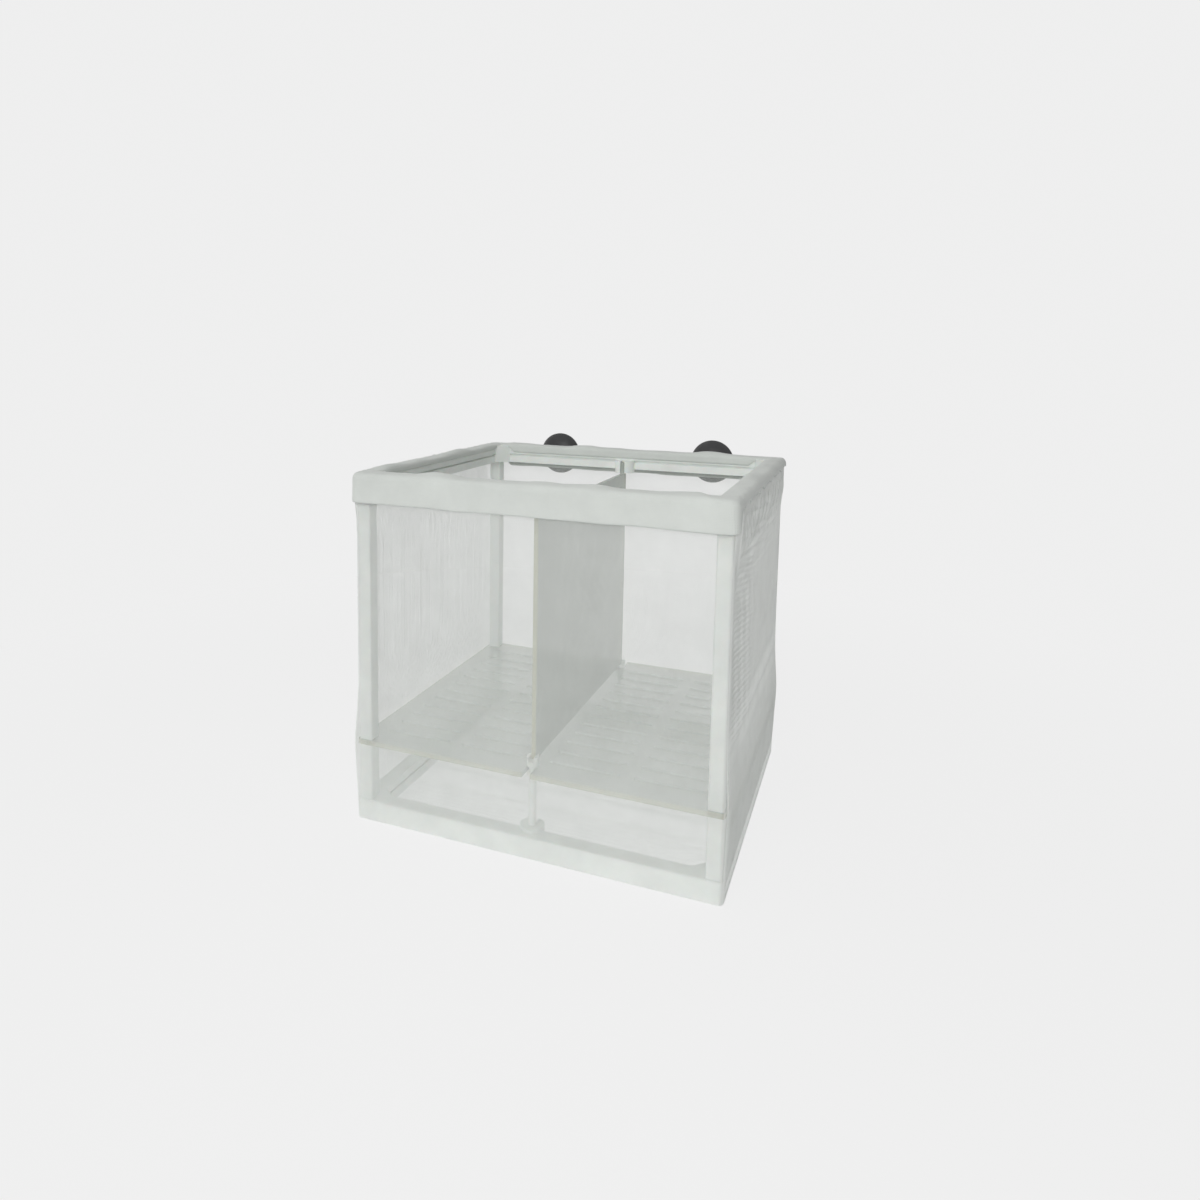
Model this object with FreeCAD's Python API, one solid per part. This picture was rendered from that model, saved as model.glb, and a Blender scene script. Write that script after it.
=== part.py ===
"""Aquarium breeding net: a knock-down frame in a mesh bag, with a slotted floor, a divider and two suction cups."""

import FreeCAD
import Part
import os
from FreeCAD import Vector

# All sizes are millimetres. X runs across the front, Y to the rear, Z up. The origin is the middle of the base.

# Overall size, over the mesh bag and its collar
overall_width = 160.0
overall_depth = 142.0
overall_height = 152.0

# Mesh bag: each wall is one flat net with a plain hem
net_thickness = 0.4
net_thread = 0.9
net_hem = 1.6
net_columns = 16
net_rows = 18

# White collar turned over the top ring
collar_thickness = 0.8
collar_skirt = 12.6
collar_side_skirt = 4.0
collar_flap = 4.0
flap_end_gap = 0.3

# The two moulded rings
rail_width = 7.0
rail_height = 9.0
ring_corner_radius = 2.0
ring_edge_radius = 0.8
gusset_leg = 6.0
groove_level = 4.4
groove_height = 1.0
groove_depth = 1.2
boss_radius = 5.0
boss_inset = 1.0
boss_rise = 1.6
boss_slit = 2.2

# Corner posts, in two lengths that clamp the floor plate between them
post_size = 6.0
post_inset = 1.0
post_wall = 1.0
post_edge_radius = 0.8
spigot_length = 6.0
socket_clearance = 0.05
socket_spare = 0.3

# Middle rods, from the bottom bosses to the floor plate
rod_radius = 1.6
rod_seat_depth = 5.0
rod_head_radius = 2.5
rod_head_height = 4.0
rod_flange_height = 1.5
rod_slit_depth = 2.0

# Slotted floor plate
plate_level = 34.0
plate_thickness = 2.0
plate_gap = 0.2
plate_corner_radius = 1.5
plate_hole_clearance = 0.2
slot_width = 2.0
slot_rows = 12
slot_side_land = 8.1
slot_column_land = 5.5
slot_middle_land = 10.0
slot_end_land = 12.5

# Divider, which slides in the slits of the bosses and the rod heads
divider_thickness = 1.8
divider_flap_gap = 0.7
divider_ear_width = 4.5
divider_shoulder_gap = 0.3
divider_ear_gap = 0.8
divider_seat_clearance = 0.1

# Suction cups, each turning on a stem in the rear rail
cup_spacing = 84.0
cup_radius = 11.0
cup_depth = 7.8
cup_gap = 0.3
cup_neck_radius = 4.5
cup_neck_length = 1.8
cup_rim_thickness = 0.7
cup_rim_width = 0.9
cup_web = 3.0
cup_flat_radius = 2.0
cup_outer_bulge = 0.9
cup_inner_bulge = 0.7
stem_radius = 2.0
stem_clearance = 0.06
stem_hole_gap = 0.5
stem_neck_length = 2.0
stem_chamber_radius = 3.0
stem_chamber_length = 2.8
stem_nub_radius = 2.7
stem_nub_chamfer = 0.8
stem_end_gap = 0.2

# Cutting tools run past the faces they cut by this much
overrun = 1.0

# Places that follow from the sizes above
outer_x = overall_width / 2
outer_y = overall_depth / 2
frame_x = outer_x - collar_thickness - net_thickness
frame_y = outer_y - collar_thickness - net_thickness
frame_bottom = net_thickness
frame_top = overall_height - collar_thickness
inner_x = frame_x - rail_width
inner_y = frame_y - rail_width
boss_y = inner_y - boss_inset
boss_height = rail_height + boss_rise
post_x = frame_x - post_inset - post_size / 2
post_y = frame_y - post_inset - post_size / 2
spigot_size = post_size - 2 * post_wall
plate_x = frame_x - plate_gap
plate_y = frame_y - plate_gap
plate_top = plate_level + plate_thickness
slot_length = (plate_x - slot_side_land - slot_column_land - slot_middle_land / 2) / 2
slot_pitch = 2 * (plate_y - slot_end_land - slot_width / 2) / (slot_rows - 1)
skirt_bottom = overall_height - collar_skirt
side_skirt_bottom = overall_height - collar_side_skirt
cup_level = frame_top - rail_height / 2
cup_places = [-cup_spacing / 2, cup_spacing / 2]
both_sides = [-1, 1]
upright_cosine = 0.999


def block(low, high):
    """A box between two opposite corners."""
    size = high - low
    return Part.makeBox(size.x, size.y, size.z, low)


def upright(radius, x, y, low, high):
    """A cylinder that stands on Z."""
    return Part.makeCylinder(radius, high - low, Vector(x, y, low))


def along_y(radius, x, z, low, high):
    """A cylinder that lies along Y."""
    return Part.makeCylinder(radius, high - low, Vector(x, low, z), Vector(0, 1, 0))


def square_bar(size, x, y, low, high):
    """A square bar that stands on Z."""
    half = size / 2
    return block(Vector(x - half, y - half, low), Vector(x + half, y + half, high))


def prism(points, low, high):
    """A plan outline raised from one height to another."""
    corners = [Vector(x, y, low) for x, y in points]
    face = Part.Face(Part.makePolygon(corners + corners[:1]))
    return face.extrude(Vector(0, 0, high - low))


def round_upright_edges(shape, radius):
    """Rounds every straight edge that stands on Z."""
    edges = [e for e in shape.Edges if abs(e.tangentAt(e.FirstParameter).z) > upright_cosine]
    return shape.makeFillet(radius, edges)


def ring_rails():
    """The four rails as one rounded ring, outer face down at zero height."""
    outside = block(Vector(-frame_x, -frame_y, 0), Vector(frame_x, frame_y, rail_height))
    outside = round_upright_edges(outside, ring_corner_radius)
    edges = [e for e in outside.Edges if abs(e.tangentAt(e.FirstParameter).z) < upright_cosine]
    outside = outside.makeFillet(ring_edge_radius, edges)
    hole = block(Vector(-inner_x, -inner_y, -overrun), Vector(inner_x, inner_y, rail_height + overrun))
    return outside.cut(hole)


def ring_gussets():
    """A triangle that fills each inner corner of the ring."""
    gussets = []
    for side_x in both_sides:
        for side_y in both_sides:
            x = side_x * inner_x
            y = side_y * inner_y
            points = [(x, y), (x - side_x * gusset_leg, y), (x, y - side_y * gusset_leg)]
            gussets.append(prism(points, 0, rail_height))
    return gussets


def ring_grooves():
    """Cutters for the groove along each inner face, stopping at the gussets."""
    low = groove_level
    high = groove_level + groove_height
    half_x = inner_x - gusset_leg
    half_y = inner_y - gusset_leg
    deep_x = inner_x + groove_depth
    deep_y = inner_y + groove_depth
    across = block(Vector(-half_x, -deep_y, low), Vector(half_x, deep_y, high))
    lengthwise = block(Vector(-deep_x, -half_y, low), Vector(deep_x, half_y, high))
    return [across, lengthwise]


def ring_bosses():
    """The round boss in the middle of the front and rear rails."""
    return [upright(boss_radius, 0, side * boss_y, groove_level, boss_height) for side in both_sides]


def boss_cuts():
    """The rod hole in each boss, and the slit from the hole to the boss's tip."""
    cuts = []
    half = boss_slit / 2
    tip = boss_y - boss_radius - overrun
    for side in both_sides:
        hole_floor = boss_height - rod_seat_depth
        cuts.append(upright(rod_radius + socket_clearance, 0, side * boss_y, hole_floor, boss_height + overrun))
        near, far = sorted([side * tip, side * boss_y])
        cuts.append(block(Vector(-half, near, groove_level - overrun), Vector(half, far, boss_height + overrun)))
    return cuts


def post_sockets():
    """The square socket for a post's spigot in each corner of the ring."""
    size = spigot_size + 2 * socket_clearance
    floor = rail_height - spigot_length - socket_spare
    places = [(side_x * post_x, side_y * post_y) for side_x in both_sides for side_y in both_sides]
    return [square_bar(size, x, y, floor, rail_height + overrun) for x, y in places]


def ring():
    """One moulded ring with its outer face down at zero height."""
    body = ring_rails().fuse(ring_gussets())
    body = body.cut(ring_grooves())
    body = body.fuse(ring_bosses())
    body = body.cut(boss_cuts() + post_sockets())
    return body.removeSplitter()


def bottom_frame():
    """The ring that stands on the mesh floor."""
    body = ring()
    body.translate(Vector(0, 0, frame_bottom))
    return body


def stem_bores():
    """The neck bore and the wider chamber behind it for each cup's stem."""
    neck_end = frame_y - stem_neck_length
    chamber_end = neck_end - stem_chamber_length
    cuts = []
    for x in cup_places:
        cuts.append(along_y(stem_radius + stem_clearance, x, cup_level, neck_end, frame_y + overrun))
        cuts.append(along_y(stem_chamber_radius, x, cup_level, chamber_end, neck_end))
    return cuts


def top_frame():
    """The same ring turned over, with the bores for the cup stems in its rear rail."""
    body = ring()
    body.rotate(Vector(0, 0, 0), Vector(1, 0, 0), 180)
    body.translate(Vector(0, 0, frame_top))
    return body.cut(stem_bores())


def lower_post(x, y):
    """A short post with a spigot at each end; the upper spigot passes through the floor plate."""
    foot = frame_bottom + rail_height
    body = round_upright_edges(square_bar(post_size, x, y, foot, plate_level), post_edge_radius)
    spigots = [
        square_bar(spigot_size, x, y, foot - spigot_length, foot),
        square_bar(spigot_size, x, y, plate_level, plate_top + spigot_length),
    ]
    return body.fuse(spigots).removeSplitter()


def upper_post(x, y):
    """A long post with a socket at its foot and a spigot at its head."""
    head = frame_top - rail_height
    body = round_upright_edges(square_bar(post_size, x, y, plate_top, head), post_edge_radius)
    body = body.fuse(square_bar(spigot_size, x, y, head, head + spigot_length))
    socket_top = plate_top + spigot_length + socket_spare
    socket = square_bar(spigot_size + 2 * socket_clearance, x, y, plate_top - overrun, socket_top)
    return body.cut(socket).removeSplitter()


def middle_rod(side):
    """The rod at the front or rear: a shaft, a flange under the floor plate and a slit head above it."""
    y = side * boss_y
    foot = frame_bottom + boss_height - rod_seat_depth
    head_top = plate_top + rod_head_height
    shaft = upright(rod_radius, 0, y, foot, head_top)
    flange = upright(rod_head_radius, 0, y, plate_level - rod_flange_height, plate_level)
    head = upright(rod_head_radius, 0, y, plate_top, head_top)
    reach = rod_head_radius + overrun
    slit_low = Vector(-boss_slit / 2, y - reach, head_top - rod_slit_depth)
    slit_high = Vector(boss_slit / 2, y + reach, head_top + overrun)
    return shaft.fuse([flange, head]).cut(block(slit_low, slit_high)).removeSplitter()


def slot_cutter(x, y):
    """A slot with round ends that runs along X."""
    radius = slot_width / 2
    reach = slot_length / 2 - radius
    low = plate_level - overrun
    high = plate_top + overrun
    middle = block(Vector(x - reach, y - radius, low), Vector(x + reach, y + radius, high))
    ends = [upright(radius, x + side * reach, y, low, high) for side in both_sides]
    return middle.fuse(ends).removeSplitter()


def floor_slots():
    """Four columns of slots, two on each side of the divider."""
    inner_column = (slot_middle_land + slot_length) / 2
    outer_column = inner_column + slot_length + slot_column_land
    columns = [side * offset for side in both_sides for offset in (inner_column, outer_column)]
    first = -slot_pitch * (slot_rows - 1) / 2
    rows = [first + slot_pitch * number for number in range(slot_rows)]
    return [slot_cutter(x, y) for x in columns for y in rows]


def floor_plate():
    """The slotted plate, with a hole for each post's spigot and a notch for each rod."""
    body = block(Vector(-plate_x, -plate_y, plate_level), Vector(plate_x, plate_y, plate_top))
    body = round_upright_edges(body, plate_corner_radius)
    low = plate_level - overrun
    high = plate_top + overrun
    cuts = floor_slots()
    hole = spigot_size + 2 * plate_hole_clearance
    cuts += [square_bar(hole, sx * post_x, sy * post_y, low, high) for sx in both_sides for sy in both_sides]
    notch = rod_radius + plate_hole_clearance
    for side in both_sides:
        near, far = sorted([side * boss_y, side * (plate_y + overrun)])
        cuts.append(block(Vector(-notch, near, low), Vector(notch, far, high)))
        cuts.append(upright(notch, 0, side * boss_y, low, high))
    return body.cut(cuts)


def divider_plate():
    """The upright plate between the compartments, with an ear in each top boss."""
    reach = inner_y - collar_thickness - divider_flap_gap
    ear = reach - divider_ear_width
    low = plate_top + rod_head_height - rod_slit_depth + divider_seat_clearance
    shoulder = frame_top - boss_height - divider_shoulder_gap
    high = frame_top - groove_level - divider_ear_gap
    right = [(reach, low), (reach, high), (ear, high), (ear, shoulder)]
    left = [(-y, z) for y, z in reversed(right)]
    x = -divider_thickness / 2
    corners = [Vector(x, y, z) for y, z in right + left]
    face = Part.Face(Part.makePolygon(corners + corners[:1]))
    return face.extrude(Vector(divider_thickness, 0, 0))


def bowed(start, end, bulge):
    """An arc from start to end in the XY plane, bowed to the left of that way by the bulge."""
    chord = end - start
    across = Vector(-chord.y, chord.x, 0).normalize()
    middle = (start + end) / 2 + across * bulge
    return Part.Arc(start, middle, end).toShape()


def suction_cup(x):
    """A rubber cup turned about its stem, with a nub that holds it in the rail."""
    back = outer_y + cup_gap
    rim = back + cup_depth
    tip = frame_y - stem_neck_length - stem_chamber_length + stem_end_gap
    shoulder = frame_y - stem_neck_length - stem_end_gap
    stem = [
        Vector(0, tip, 0),
        Vector(stem_nub_radius - stem_nub_chamfer, tip, 0),
        Vector(stem_nub_radius, tip + stem_nub_chamfer, 0),
        Vector(stem_nub_radius, shoulder, 0),
        Vector(stem_radius, shoulder, 0),
        Vector(stem_radius, back, 0),
        Vector(cup_neck_radius, back, 0),
        Vector(cup_neck_radius, back + cup_neck_length, 0),
    ]
    rim_outside = Vector(cup_radius, rim - cup_rim_thickness, 0)
    lip = [rim_outside, Vector(cup_radius, rim, 0), Vector(cup_radius - cup_rim_width, rim, 0)]
    hollow = [Vector(cup_flat_radius, back + cup_web, 0), Vector(0, back + cup_web, 0), stem[0]]
    edges = Part.makePolygon(stem).Edges
    edges.append(bowed(stem[-1], rim_outside, -cup_outer_bulge))
    edges += Part.makePolygon(lip).Edges
    edges.append(bowed(lip[-1], hollow[0], cup_inner_bulge))
    edges += Part.makePolygon(hollow).Edges
    body = Part.Face(Part.Wire(edges)).revolve(Vector(0, 0, 0), Vector(0, 1, 0), 360)
    body.translate(Vector(x, 0, cup_level))
    return body


def rectangle(place, low, high):
    """A rectangle on a panel, whose place function puts a point of the panel in space."""
    corners = [low, (high[0], low[1]), high, (low[0], high[1]), low]
    return Part.makePolygon([place(across, up) for across, up in corners])


def net_gaps(place, low, high):
    """The gaps of a net between two opposite corners, a thread's width apart."""
    step_across = (high[0] - low[0] + net_thread) / net_columns
    step_up = (high[1] - low[1] + net_thread) / net_rows
    gaps = []
    for column in range(net_columns):
        for row in range(net_rows):
            corner = (low[0] + column * step_across, low[1] + row * step_up)
            opposite = (corner[0] + step_across - net_thread, corner[1] + step_up - net_thread)
            gaps.append(rectangle(place, corner, opposite))
    return gaps


def net_panel(place, through, low, high, field_top):
    """One flat net: a face with gaps up to the top of its field, made as thick as the mesh."""
    outline = rectangle(place, low, high)
    gaps = net_gaps(place, (low[0] + net_hem, low[1] + net_hem), (high[0] - net_hem, field_top))
    for gap in gaps:
        gap.reverse()
    return Part.Face([outline] + gaps).extrude(through * net_thickness)


def front_or_rear_net(y):
    """The mesh wall at the front or rear, which covers the edges of the side walls."""
    half = frame_x + net_thickness

    def place(across, up):
        return Vector(across, y, up)

    return net_panel(place, Vector(0, 1, 0), (-half, 0), (half, frame_top), skirt_bottom)


def side_net(x):
    """The mesh wall at the left or right."""

    def place(across, up):
        return Vector(x, across, up)

    return net_panel(place, Vector(1, 0, 0), (-frame_y, 0), (frame_y, frame_top), side_skirt_bottom)


def bottom_net():
    """The mesh floor of the bag."""

    def place(across, up):
        return Vector(across, up, 0)

    return net_panel(place, Vector(0, 0, 1), (-frame_x, -frame_y), (frame_x, frame_y), frame_y - net_hem)


def stem_holes():
    """Cutters for the holes that the cup stems pass through in the rear mesh and collar."""
    radius = stem_radius + stem_hole_gap
    return [along_y(radius, x, cup_level, frame_y - overrun, outer_y + overrun) for x in cup_places]


def collar_ring():
    """The whole collar: a skirt outside the mesh, a band over the ring and a flap inside each rail."""
    outside = block(Vector(-outer_x, -outer_y, skirt_bottom), Vector(outer_x, outer_y, overall_height))
    wall_x = frame_x + net_thickness
    wall_y = frame_y + net_thickness
    inside = block(Vector(-wall_x, -wall_y, skirt_bottom - overrun), Vector(wall_x, wall_y, frame_top))
    mouth_x = inner_x - collar_thickness
    mouth_y = inner_y - collar_thickness
    mouth = block(Vector(-mouth_x, -mouth_y, skirt_bottom), Vector(mouth_x, mouth_y, overall_height + overrun))
    low = frame_top - collar_flap
    half_x = inner_x - gusset_leg - flap_end_gap
    half_y = inner_y - gusset_leg - flap_end_gap
    flaps = []
    for side in both_sides:
        near, far = sorted([side * mouth_y, side * inner_y])
        flaps.append(block(Vector(-half_x, near, low), Vector(half_x, far, frame_top)))
        near, far = sorted([side * mouth_x, side * inner_x])
        flaps.append(block(Vector(near, -half_y, low), Vector(far, half_y, frame_top)))
    return outside.cut([inside, mouth]).fuse(flaps).cut(stem_holes())


def below_side_skirts():
    """Cutters that shorten the skirt of the collar on its left and right sides."""
    wall_x = frame_x + net_thickness
    cuts = []
    for side in both_sides:
        near, far = sorted([side * wall_x, side * (outer_x + overrun)])
        low = Vector(near, -outer_y - overrun, skirt_bottom - overrun)
        cuts.append(block(low, Vector(far, outer_y + overrun, side_skirt_bottom)))
    return cuts


def collar_sides():
    """The collar cut along its corner seams into its four sides, with a short skirt on the left and right."""
    whole = collar_ring()
    mouth_x = inner_x - collar_thickness
    mouth_y = inner_y - collar_thickness
    low = skirt_bottom - overrun
    high = overall_height + overrun
    plans = {
        "collar_front": [(-outer_x, -outer_y), (outer_x, -outer_y), (mouth_x, -mouth_y), (-mouth_x, -mouth_y)],
        "collar_rear": [(outer_x, outer_y), (-outer_x, outer_y), (-mouth_x, mouth_y), (mouth_x, mouth_y)],
        "collar_left": [(-outer_x, outer_y), (-outer_x, -outer_y), (-mouth_x, -mouth_y), (-mouth_x, mouth_y)],
        "collar_right": [(outer_x, -outer_y), (outer_x, outer_y), (mouth_x, mouth_y), (mouth_x, -mouth_y)],
    }
    sides = {name: whole.common(prism(points, low, high)) for name, points in plans.items()}
    for name in ("collar_left", "collar_right"):
        sides[name] = sides[name].cut(below_side_skirts())
    return {name: shape.removeSplitter() for name, shape in sides.items()}


def corner_posts():
    """The lower and upper post of each corner."""
    posts = {}
    for depth_name, side_y in (("front", -1), ("rear", 1)):
        for width_name, side_x in (("left", -1), ("right", 1)):
            corner = f"{depth_name}_{width_name}"
            posts[f"lower_post_{corner}"] = lower_post(side_x * post_x, side_y * post_y)
            posts[f"upper_post_{corner}"] = upper_post(side_x * post_x, side_y * post_y)
    return posts


def all_parts():
    """Every piece of the breeding net under its own name."""
    parts = {
        "top_frame": top_frame(),
        "bottom_frame": bottom_frame(),
        "front_rod": middle_rod(-1),
        "rear_rod": middle_rod(1),
        "floor_plate": floor_plate(),
        "divider_plate": divider_plate(),
        "suction_cup_left": suction_cup(cup_places[0]),
        "suction_cup_right": suction_cup(cup_places[1]),
        "net_front": front_or_rear_net(-frame_y - net_thickness),
        "net_rear": front_or_rear_net(frame_y).cut(stem_holes()),
        "net_left": side_net(-frame_x - net_thickness),
        "net_right": side_net(frame_x),
        "net_bottom": bottom_net(),
    }
    parts.update(corner_posts())
    parts.update(collar_sides())
    return parts


def write_parts():
    """Writes each piece as a STEP file named after it."""
    os.makedirs("parts", exist_ok=True)
    for name, shape in all_parts().items():
        print(name, "solids", len(shape.Solids), "volume", round(shape.Volume, 1))
        shape.exportStep(os.path.join("parts", name + ".step"))


write_parts()
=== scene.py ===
"""Dresses an aquarium breeding net: mesh bag, cloth collar, moulded frame, plates and cups."""

import math

import bpy
import numpy as np
from mathutils import Matrix, Vector


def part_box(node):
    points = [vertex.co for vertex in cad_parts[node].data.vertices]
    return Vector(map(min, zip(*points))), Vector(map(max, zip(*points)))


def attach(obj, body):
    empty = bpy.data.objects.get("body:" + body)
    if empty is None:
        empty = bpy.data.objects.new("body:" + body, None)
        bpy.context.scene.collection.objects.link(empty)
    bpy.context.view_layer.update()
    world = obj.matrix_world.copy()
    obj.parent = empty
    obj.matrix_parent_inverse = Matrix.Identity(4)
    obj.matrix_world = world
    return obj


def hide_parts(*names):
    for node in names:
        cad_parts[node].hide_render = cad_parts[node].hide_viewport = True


bl_info = {
    "name": "Breeding Net",
    "version": (1, 0, 0),
    "blender": (4, 5, 0),
    "location": "View3D > Sidebar > Breeding Net",
    "description": "Makes the mesh bag and collar of an aquarium breeding net and finishes its frame",
    "category": "Object",
}

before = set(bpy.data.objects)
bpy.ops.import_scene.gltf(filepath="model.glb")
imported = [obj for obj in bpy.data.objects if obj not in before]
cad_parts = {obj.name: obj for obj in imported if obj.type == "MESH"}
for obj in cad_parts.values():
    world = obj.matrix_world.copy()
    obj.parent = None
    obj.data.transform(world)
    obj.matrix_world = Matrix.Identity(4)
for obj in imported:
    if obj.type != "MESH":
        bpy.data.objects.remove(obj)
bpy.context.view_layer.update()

# Places read from the frame, in metres
mm = 0.001
ring_low, ring_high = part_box("bottom_frame")
top_low, top_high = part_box("top_frame")
plate_low, plate_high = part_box("floor_plate")
divider_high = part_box("divider_plate")[1]
cup_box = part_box("suction_cup_right")
frame_x = ring_high.x
frame_y = ring_high.y
frame_bottom = ring_low.z
frame_top = top_high.z
rail_width = 7 * mm
ring_edge_radius = 0.8 * mm
gusset_leg = 6 * mm
cup_x = (cup_box[0].x + cup_box[1].x) / 2
cup_z = (cup_box[0].z + cup_box[1].z) / 2
stem_radius = 2 * mm


class MeshBagSettings(bpy.types.PropertyGroup):
    """Sizes and colour of the thread mesh."""

    pitch: bpy.props.FloatProperty(
        name="Mesh pitch",
        description="Distance from one thread to the next",
        default=0.36 * mm,
        precision=5,
        unit="LENGTH",
    )
    thread_share: bpy.props.FloatProperty(
        name="Thread share",
        description="Width of a thread as a share of the pitch",
        default=0.179,
        subtype="FACTOR",
    )
    stand_off: bpy.props.FloatProperty(
        name="Stand-off",
        description="Middle of the mesh outside the rings' outer faces",
        default=0.2 * mm,
        precision=5,
        unit="LENGTH",
    )
    plate_bulge: bpy.props.FloatProperty(
        name="Plate bulge",
        description="How far the floor plate pushes the mesh out",
        default=1.1 * mm,
        precision=5,
        unit="LENGTH",
    )
    post_pull: bpy.props.FloatProperty(
        name="Post pull",
        description="How far the mesh pulls in to the posts",
        default=0.6 * mm,
        precision=5,
        unit="LENGTH",
    )
    rib_height: bpy.props.FloatProperty(
        name="Rib height",
        description="Height of the fine ribs beside the front posts",
        default=0.065 * mm,
        precision=5,
        unit="LENGTH",
    )
    pucker_height: bpy.props.FloatProperty(
        name="Pucker height",
        description="Height of the gathers under the side seams",
        default=0.28 * mm,
        precision=5,
        unit="LENGTH",
    )
    hang: bpy.props.FloatProperty(
        name="Hang",
        description="How far the mesh stands out where it hangs from the side seams",
        default=0.75 * mm,
        precision=5,
        unit="LENGTH",
    )
    thread_colour: bpy.props.FloatVectorProperty(
        name="Thread colour",
        description="Colour of the mesh threads",
        default=(0.92, 0.94, 0.92, 1.0),
        size=4,
        min=0.0,
        max=1.0,
        subtype="COLOR",
    )


class CollarSettings(bpy.types.PropertyGroup):
    """Sizes and colour of the cloth collar."""

    front_skirt: bpy.props.FloatProperty(
        name="Front skirt",
        description="Depth of the collar down the front and rear",
        default=12.6 * mm,
        precision=5,
        unit="LENGTH",
    )
    side_skirt: bpy.props.FloatProperty(
        name="Side skirt",
        description="Depth of the collar down the left and right",
        default=3.8 * mm,
        precision=5,
        unit="LENGTH",
    )
    flap: bpy.props.FloatProperty(
        name="Flap",
        description="Depth of the collar inside the rails",
        default=4.2 * mm,
        precision=5,
        unit="LENGTH",
    )
    thickness: bpy.props.FloatProperty(
        name="Thickness",
        description="Thickness of the folded cloth",
        default=0.7 * mm,
        precision=5,
        unit="LENGTH",
    )
    puff: bpy.props.FloatProperty(
        name="Puff",
        description="How far the inner edge lifts off the rails",
        default=1.3 * mm,
        precision=5,
        unit="LENGTH",
    )
    cloth_colour: bpy.props.FloatVectorProperty(
        name="Cloth colour",
        description="Colour of the collar cloth",
        default=(0.67, 0.70, 0.67, 1.0),
        size=4,
        min=0.0,
        max=1.0,
        subtype="COLOR",
    )


class FinishSettings(bpy.types.PropertyGroup):
    """Colours of the rigid pieces."""

    plastic_colour: bpy.props.FloatVectorProperty(
        name="Moulded plastic",
        description="Colour of the rings, posts and rods",
        default=(0.86, 0.89, 0.86, 1.0),
        size=4,
        min=0.0,
        max=1.0,
        subtype="COLOR",
    )
    plate_colour: bpy.props.FloatVectorProperty(
        name="Plate",
        description="Colour of the floor plate; the divider is a little darker",
        default=(0.60, 0.65, 0.60, 1.0),
        size=4,
        min=0.0,
        max=1.0,
        subtype="COLOR",
    )
    # Painted edge glow: a yellow-green colour on the plates' cut edges in place of the light the sheets
    # gather and give off there
    edge_glow_colour: bpy.props.FloatVectorProperty(
        name="Plate edge",
        description="Colour of the plates' cut edges",
        default=(0.62, 0.62, 0.43, 1.0),
        size=4,
        min=0.0,
        max=1.0,
        subtype="COLOR",
    )
    rubber_colour: bpy.props.FloatVectorProperty(
        name="Rubber",
        description="Colour of the suction cups",
        default=(0.022, 0.022, 0.023, 1.0),
        size=4,
        min=0.0,
        max=1.0,
        subtype="COLOR",
    )


class StageSettings(bpy.types.PropertyGroup):
    """Floor, light and camera."""

    background: bpy.props.FloatProperty(
        name="Background",
        description="Brightness of the pale background, where 1 is white",
        default=0.86,
        subtype="FACTOR",
    )
    sky: bpy.props.FloatProperty(
        name="Sky",
        description="Strength of the soft light from all round",
        default=0.74,
        subtype="FACTOR",
    )
    key: bpy.props.FloatProperty(
        name="Key lamp",
        description="Power of the large soft lamp in watts",
        default=2.2,
        subtype="POWER",
    )
    lens: bpy.props.FloatProperty(
        name="Lens",
        description="Focal length in millimetres",
        default=26.3,
    )


def smooth_step(low, high, value):
    """Rises smoothly from 0 at low to 1 at high."""
    share = np.clip((value - low) / (high - low), 0, 1)
    return share * share * (3 - 2 * share)


def ripple(place, length, seed):
    """An uneven wave between about -1 and 1, the same on each run."""
    turn = 2 * math.pi * np.asarray(place) / length
    wave = np.sin(turn + seed)
    wave = wave + 0.6 * np.sin(1.63 * turn + 1.7 * seed + 1.0)
    wave = wave + 0.4 * np.sin(2.41 * turn + 2.3 * seed + 2.0)
    return wave / 1.6


def mesh_object(name, points, quads, places=None):
    """A smooth mesh object from points and four-sided faces, with a map of flat places if given."""
    mesh = bpy.data.meshes.new(name)
    mesh.vertices.add(len(points))
    mesh.vertices.foreach_set("co", np.ascontiguousarray(points, np.float32).ravel())
    mesh.loops.add(4 * len(quads))
    mesh.loops.foreach_set("vertex_index", np.ascontiguousarray(quads, np.int32).ravel())
    mesh.polygons.add(len(quads))
    mesh.polygons.foreach_set("loop_start", np.arange(0, 4 * len(quads), 4, dtype=np.int32))
    mesh.polygons.foreach_set("use_smooth", np.ones(len(quads), bool))
    if places is not None:
        layer = mesh.uv_layers.new(name="OFBake")
        layer.uv.foreach_set("vector", np.ascontiguousarray(places, np.float32).ravel())
    mesh.update(calc_edges=True)
    if mesh.validate():
        raise RuntimeError(name + " has broken faces")
    piece = bpy.data.objects.new(name, mesh)
    bpy.context.scene.collection.objects.link(piece)
    return piece


def threads_along(points, normals, width):
    """Square closed threads along the second axis of a grid: points, faces and flat places."""
    along = np.gradient(points, axis=1)
    across = np.cross(along, normals)
    across /= np.linalg.norm(across, axis=2, keepdims=True)
    half = np.broadcast_to(width, points.shape[:2])[:, :, None] / 2
    corners = [(1, 1), (1, -1), (-1, -1), (-1, 1)]
    rings = np.stack([points + half * (a * normals + b * across) for a, b in corners], axis=2)
    threads, steps = points.shape[:2]
    number = np.arange(threads * steps * 4).reshape(threads, steps, 4)
    here = number[:, :-1]
    ahead = number[:, 1:]
    sides = np.stack([here, ahead, np.roll(ahead, -1, 2), np.roll(here, -1, 2)], axis=3)
    caps = np.concatenate([number[:, 0], number[:, -1, ::-1]])
    quads = np.concatenate([sides.reshape(-1, 4), caps])
    return rings.reshape(-1, 3), quads, unrolled(threads, steps)


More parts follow.
